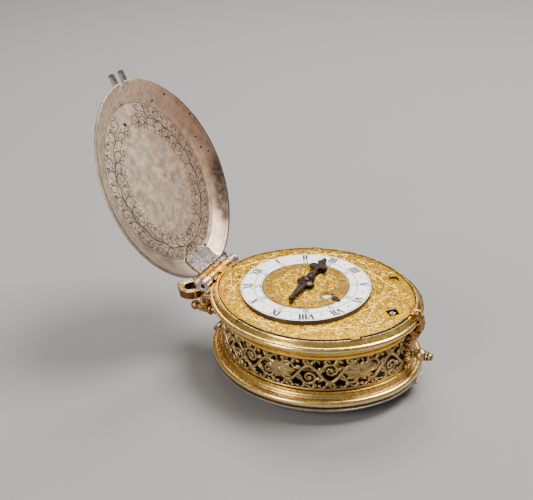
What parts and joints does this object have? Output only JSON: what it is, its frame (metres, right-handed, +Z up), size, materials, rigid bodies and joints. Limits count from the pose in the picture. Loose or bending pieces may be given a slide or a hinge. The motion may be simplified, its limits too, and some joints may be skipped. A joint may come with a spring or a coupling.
{
  "type": "calendar clock",
  "caption": "Oval spring-driven table or pendant clock with pierced case, hinged covers, hour and lunar date dial, and a striking movement hinged in the case.",
  "frame": {"origin": "centre of the case outline, on the flat floor of the back cover that the clock rests on", "axes": "+Z up through the dial, +X towards the catch and finial, -X towards the hinges and pendant"},
  "size_m": [0.1339, 0.0752, 0.1128],
  "materials": {
    "gilt_case": "gilt, softly worn",
    "rose_gilt": "coppery gilt, worn",
    "silver": "satin silver, tarnished",
    "bell_metal": "polished",
    "gilt_dial": "gilt, engraved",
    "dark_steel": "browned steel",
    "blued_steel": "polished",
    "movement_brass": "gilt, matt",
    "gut": "oiled gut"
  },
  "bodies": {
    "case": {"case_band": "gilt_case", "upper_moulding": "gilt_case", "lower_moulding": "gilt_case", "case_hinge": "rose_gilt", "front_hinge_pin": "silver", "back_case_hinge": "rose_gilt", "back_hinge_pin": "silver", "pendant_stem": "rose_gilt", "pendant_pin": "rose_gilt", "finial": "gilt_case", "catch_strap": "rose_gilt", "bell": "bell_metal", "bell_bridge": "gilt_case", "bell_screw": "blued_steel"},
    "front_cover": {"front_cover": "silver", "front_cover_hinge": "silver", "front_clasp": "silver"},
    "back_cover": {"back_cover": "silver", "back_cover_hinge": "silver"},
    "pendant": {"pendant_loop": "gilt_case"},
    "front_catch": {"front_catch": "rose_gilt"},
    "movement": {"dial_plate": "gilt_dial", "chapter_ring": "silver", "moon_disc": "silver", "dial_feet": "movement_brass", "lunar_stud": "blued_steel", "pillar_plate": "movement_brass", "pillars": "movement_brass", "top_plate": "movement_brass", "frame_screws": "blued_steel", "potences": "movement_brass", "balance_cock": "movement_brass", "barrel_arbor": "blued_steel", "barrel_click": "blued_steel", "gut_line": "gut"},
    "hour_hand": {"hour_hand": "dark_steel", "hour_wheel": "movement_brass"},
    "lunar_dial": {"lunar_dial": "gilt_dial", "lunar_finger": "dark_steel", "lunar_wheel": "movement_brass"},
    "lunar_intermediate": {"lunar_intermediate": "movement_brass"},
    "fusee": {"fusee": "movement_brass", "great_wheel": "movement_brass"},
    "going_barrel": {"going_barrel": "movement_brass", "mainspring": "blued_steel"},
    "second_wheel": {"second_wheel": "movement_brass"},
    "contrate_wheel": {"contrate_wheel": "movement_brass"},
    "crown_wheel": {"crown_wheel": "movement_brass"},
    "balance": {"balance_wheel": "movement_brass", "verge": "blued_steel"},
    "strike_barrel": {"strike_barrel": "movement_brass"},
    "pin_wheel": {"pin_wheel": "movement_brass"},
    "warning_wheel": {"warning_wheel": "movement_brass"},
    "fly": {"fly": "movement_brass"},
    "count_wheel": {"count_wheel": "movement_brass"},
    "hammer": {"hammer": "blued_steel"},
    "silent_lever": {"silent_lever": "dark_steel"}
  },
  "joints": [
    {"name": "front_cover_hinge", "type": "hinge", "parent": "case", "child": "front_cover", "pos_m": [-0.0435, 0, 0.033], "axis": [0, -1, 0], "range_deg": [-115, 5]},
    {"name": "back_cover_hinge", "type": "hinge", "parent": "case", "child": "back_cover", "pos_m": [-0.0423, 0, 0.0094], "axis": [0, 1, 0], "range_deg": [0, 100]},
    {"name": "movement_hinge", "type": "hinge", "parent": "case", "child": "movement", "pos_m": [-0.0435, 0, 0.033], "axis": [0, -1, 0], "range_deg": [0, 70]},
    {"name": "pendant_pivot", "type": "hinge", "parent": "case", "child": "pendant", "pos_m": [-0.0504, 0, 0.0202], "axis": [0, 1, 0], "range_deg": [-20, 45]},
    {"name": "front_catch_pivot", "type": "hinge", "parent": "case", "child": "front_catch", "pos_m": [0.0422, 0, 0.0274], "axis": [0, 1, 0], "range_deg": [0, 25], "stiffness_Nm_per_rad": 0.02},
    {"name": "fusee_spin", "type": "hinge", "parent": "movement", "child": "fusee", "pos_m": [-0.018, -0.0095, 0.025], "axis": [0, 0, 1], "continuous": true},
    {"name": "going_barrel_spin", "type": "hinge", "parent": "movement", "child": "going_barrel", "pos_m": [0.0035, 0.001, 0.025], "axis": [0, 0, 1], "continuous": true},
    {"name": "second_wheel_spin", "type": "hinge", "parent": "movement", "child": "second_wheel", "pos_m": [-0.00766, -0.01818, 0.025], "axis": [0, 0, 1], "continuous": true},
    {"name": "contrate_wheel_spin", "type": "hinge", "parent": "movement", "child": "contrate_wheel", "pos_m": [0.0014, -0.01658, 0.025], "axis": [0, 0, 1], "continuous": true},
    {"name": "crown_wheel_spin", "type": "hinge", "parent": "movement", "child": "crown_wheel", "pos_m": [0.0014, -0.01658, 0.0243], "axis": [0.9659, 0.2588, 0], "continuous": true},
    {"name": "balance_swing", "type": "hinge", "parent": "movement", "child": "balance", "pos_m": [0.01492, -0.01296, 0.025], "axis": [0, 0, 1], "range_deg": [-40, 40]},
    {"name": "hour_hand_spin", "type": "hinge", "parent": "movement", "child": "hour_hand", "pos_m": [-0.00395, 0, 0.035], "axis": [0, 0, 1], "continuous": true},
    {"name": "lunar_intermediate_spin", "type": "hinge", "parent": "movement", "child": "lunar_intermediate", "pos_m": [0.00235, -0.01091, 0.032], "axis": [0, 0, 1], "continuous": true},
    {"name": "lunar_dial_spin", "type": "hinge", "parent": "movement", "child": "lunar_dial", "pos_m": [-0.00395, 0, 0.036], "axis": [0, 0, 1], "continuous": true},
    {"name": "strike_barrel_spin", "type": "hinge", "parent": "movement", "child": "strike_barrel", "pos_m": [-0.0135, 0.013, 0.025], "axis": [0, 0, 1], "continuous": true},
    {"name": "pin_wheel_spin", "type": "hinge", "parent": "movement", "child": "pin_wheel", "pos_m": [-0.00172, 0.01849, 0.025], "axis": [0, 0, 1], "continuous": true},
    {"name": "warning_wheel_spin", "type": "hinge", "parent": "movement", "child": "warning_wheel", "pos_m": [0.00734, 0.0169, 0.025], "axis": [0, 0, 1], "continuous": true},
    {"name": "fly_spin", "type": "hinge", "parent": "movement", "child": "fly", "pos_m": [0.01512, 0.01481, 0.025], "axis": [0, 0, 1], "continuous": true},
    {"name": "count_wheel_spin", "type": "hinge", "parent": "movement", "child": "count_wheel", "pos_m": [-0.01541, 0.00217, 0.017], "axis": [0, 0, 1], "continuous": true},
    {"name": "hammer_pivot", "type": "hinge", "parent": "movement", "child": "hammer", "pos_m": [0.0145, 0.021, 0.02], "axis": [0, 0, 1], "range_deg": [0, 12], "stiffness_Nm_per_rad": 0.0005},
    {"name": "silent_lever_pivot", "type": "hinge", "parent": "movement", "child": "silent_lever", "pos_m": [0.0328, -0.0024, 0.031], "axis": [0, 0, 1], "range_deg": [0, 30]}
  ],
  "couplings": [
    {"joint": "going_barrel_spin", "follows": "fusee_spin", "ratio": 0.72},
    {"joint": "second_wheel_spin", "follows": "fusee_spin", "ratio": -4.4},
    {"joint": "contrate_wheel_spin", "follows": "fusee_spin", "ratio": 15.84},
    {"joint": "crown_wheel_spin", "follows": "fusee_spin", "ratio": -79.2},
    {"joint": "hour_hand_spin", "follows": "fusee_spin", "ratio": -0.25},
    {"joint": "lunar_intermediate_spin", "follows": "fusee_spin", "ratio": 0.033898},
    {"joint": "lunar_dial_spin", "follows": "fusee_spin", "ratio": -0.0042373},
    {"joint": "pin_wheel_spin", "follows": "strike_barrel_spin", "ratio": -4.2},
    {"joint": "warning_wheel_spin", "follows": "strike_barrel_spin", "ratio": 15.12},
    {"joint": "fly_spin", "follows": "strike_barrel_spin", "ratio": -54.432},
    {"joint": "count_wheel_spin", "follows": "strike_barrel_spin", "ratio": -0.22222}
  ]
}
